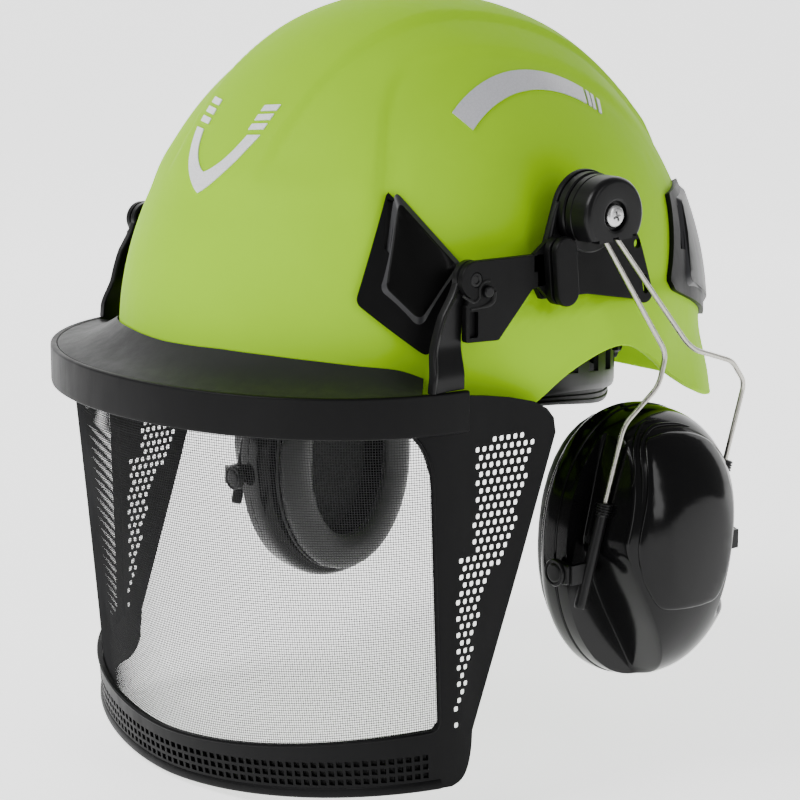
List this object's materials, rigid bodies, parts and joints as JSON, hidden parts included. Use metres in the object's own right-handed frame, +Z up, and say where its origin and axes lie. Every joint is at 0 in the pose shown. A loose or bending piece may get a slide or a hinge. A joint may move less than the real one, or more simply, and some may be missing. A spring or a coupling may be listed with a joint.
{
  "type": "forestry helmet",
  "caption": "Hard-shell head protection with a flip-up mesh face screen on a rubber-sealed brow band and sliding, swinging ear muffs on spring-wire arms.",
  "frame": {"origin": "centre of the head opening, level with the shell's lower edge", "axes": "+Z up, -Y is the front of the helmet, +X is the wearer's left"},
  "size_m": [0.2852, 0.2948, 0.3123],
  "materials": {
    "shell_green": "satin moulded plastic with fine sheen",
    "black_plastic": "fine-grained black moulding",
    "gloss_black": "polished black moulding",
    "grey_rubber": "soft satin dark grey",
    "steel_wire": "bright drawn wire",
    "visor_gauze": "fine square woven mesh, matt",
    "reflective": "retroreflective sticker",
    "webbing": "narrow woven webbing",
    "cushion_skin": "soft smooth synthetic skin over foam",
    "pad_foam": "cloth-faced foam"
  },
  "bodies": {
    "helmet": {"helmet_shell": "shell_green", "front_vent_frame_left": "black_plastic", "front_vent_panel_left": "black_plastic", "rear_vent_frame_left": "black_plastic", "rear_vent_panel_left": "black_plastic", "reflector_side_left": "reflective", "slot_adapter_left": "black_plastic", "ear_bracket_left": "black_plastic", "visor_bracket_left": "black_plastic", "hinge_pin_left": "black_plastic", "drum_base_left": "black_plastic", "drum_screw_left": "steel_wire", "front_vent_frame_right": "black_plastic", "front_vent_panel_right": "black_plastic", "rear_vent_frame_right": "black_plastic", "rear_vent_panel_right": "black_plastic", "reflector_side_right": "reflective", "slot_adapter_right": "black_plastic", "ear_bracket_right": "black_plastic", "visor_bracket_right": "black_plastic", "hinge_pin_right": "black_plastic", "drum_base_right": "black_plastic", "drum_screw_right": "steel_wire", "reflector_front": "reflective", "headband": "black_plastic", "brow_pad": "pad_foam", "suspension_clip_front_left": "black_plastic", "suspension_clip_rear_left": "black_plastic", "suspension_clip_rear_right": "black_plastic", "suspension_clip_front_right": "black_plastic", "crown_strap_upper": "webbing", "crown_strap_lower": "webbing", "ratchet_housing": "black_plastic"},
    "visor": {"visor_arm_left": "black_plastic", "visor_arm_right": "black_plastic", "brow_band": "black_plastic", "brow_flap": "grey_rubber", "visor_frame": "black_plastic", "visor_mesh": "visor_gauze"},
    "drum_left": {"drum_cap_left": "black_plastic"},
    "wire_left": {"ear_wire_left": "steel_wire"},
    "yokes_left": {"yoke_front_left": "black_plastic", "yoke_rear_left": "black_plastic"},
    "cup_left": {"cup_shell_left": "gloss_black", "cup_cover_left": "gloss_black", "cup_ring_left": "gloss_black", "cup_cushion_left": "cushion_skin", "cup_foam_left": "pad_foam"},
    "drum_right": {"drum_cap_right": "black_plastic"},
    "wire_right": {"ear_wire_right": "steel_wire"},
    "yokes_right": {"yoke_front_right": "black_plastic", "yoke_rear_right": "black_plastic"},
    "cup_right": {"cup_shell_right": "gloss_black", "cup_cover_right": "gloss_black", "cup_ring_right": "gloss_black", "cup_cushion_right": "cushion_skin", "cup_foam_right": "pad_foam"},
    "knob": {"ratchet_knob": "black_plastic"},
    "nape": {"nape_strap": "black_plastic"}
  },
  "joints": [
    {"name": "visor_flip", "type": "hinge", "parent": "helmet", "child": "visor", "pos_m": [0, -0.056, 0.072], "axis": [-1, 0, 0], "range_deg": [0, 95]},
    {"name": "left_arm_turn", "type": "hinge", "parent": "helmet", "child": "drum_left", "pos_m": [0.12, 0.0042, 0.0927], "axis": [1, 0, 0], "range_deg": [-4, 6]},
    {"name": "left_arm_swing", "type": "hinge", "parent": "drum_left", "child": "wire_left", "pos_m": [0.1195, 0.0042, 0.0848], "axis": [0, -1, 0], "range_deg": [0, 25]},
    {"name": "left_cup_height", "type": "slide", "parent": "wire_left", "child": "yokes_left", "axis": [-0.06, -0.2501, -0.9664], "range_m": [-0.006, 0.01]},
    {"name": "left_cup_tilt", "type": "hinge", "parent": "yokes_left", "child": "cup_left", "pos_m": [0.108, 0.04, -0.0525], "axis": [0, 1, 0], "range_deg": [-8, 8]},
    {"name": "right_arm_turn", "type": "hinge", "parent": "helmet", "child": "drum_right", "pos_m": [-0.12, 0.0042, 0.0927], "axis": [1, 0, 0], "range_deg": [-4, 6]},
    {"name": "right_arm_swing", "type": "hinge", "parent": "drum_right", "child": "wire_right", "pos_m": [-0.1195, 0.0042, 0.0848], "axis": [0, 1, 0], "range_deg": [0, 25]},
    {"name": "right_cup_height", "type": "slide", "parent": "wire_right", "child": "yokes_right", "axis": [0.06, -0.2501, -0.9664], "range_m": [-0.006, 0.01]},
    {"name": "right_cup_tilt", "type": "hinge", "parent": "yokes_right", "child": "cup_right", "pos_m": [-0.108, 0.04, -0.0525], "axis": [0, 1, 0], "range_deg": [-8, 8]},
    {"name": "knob_turn", "type": "hinge", "parent": "helmet", "child": "knob", "pos_m": [0, 0.1167, 0.0165], "axis": [0, 1, 0], "range_deg": [-180, 180]},
    {"name": "nape_tilt", "type": "hinge", "parent": "helmet", "child": "nape", "pos_m": [0, 0.003, 0.007], "axis": [1, 0, 0], "range_deg": [-6, 4]}
  ]
}
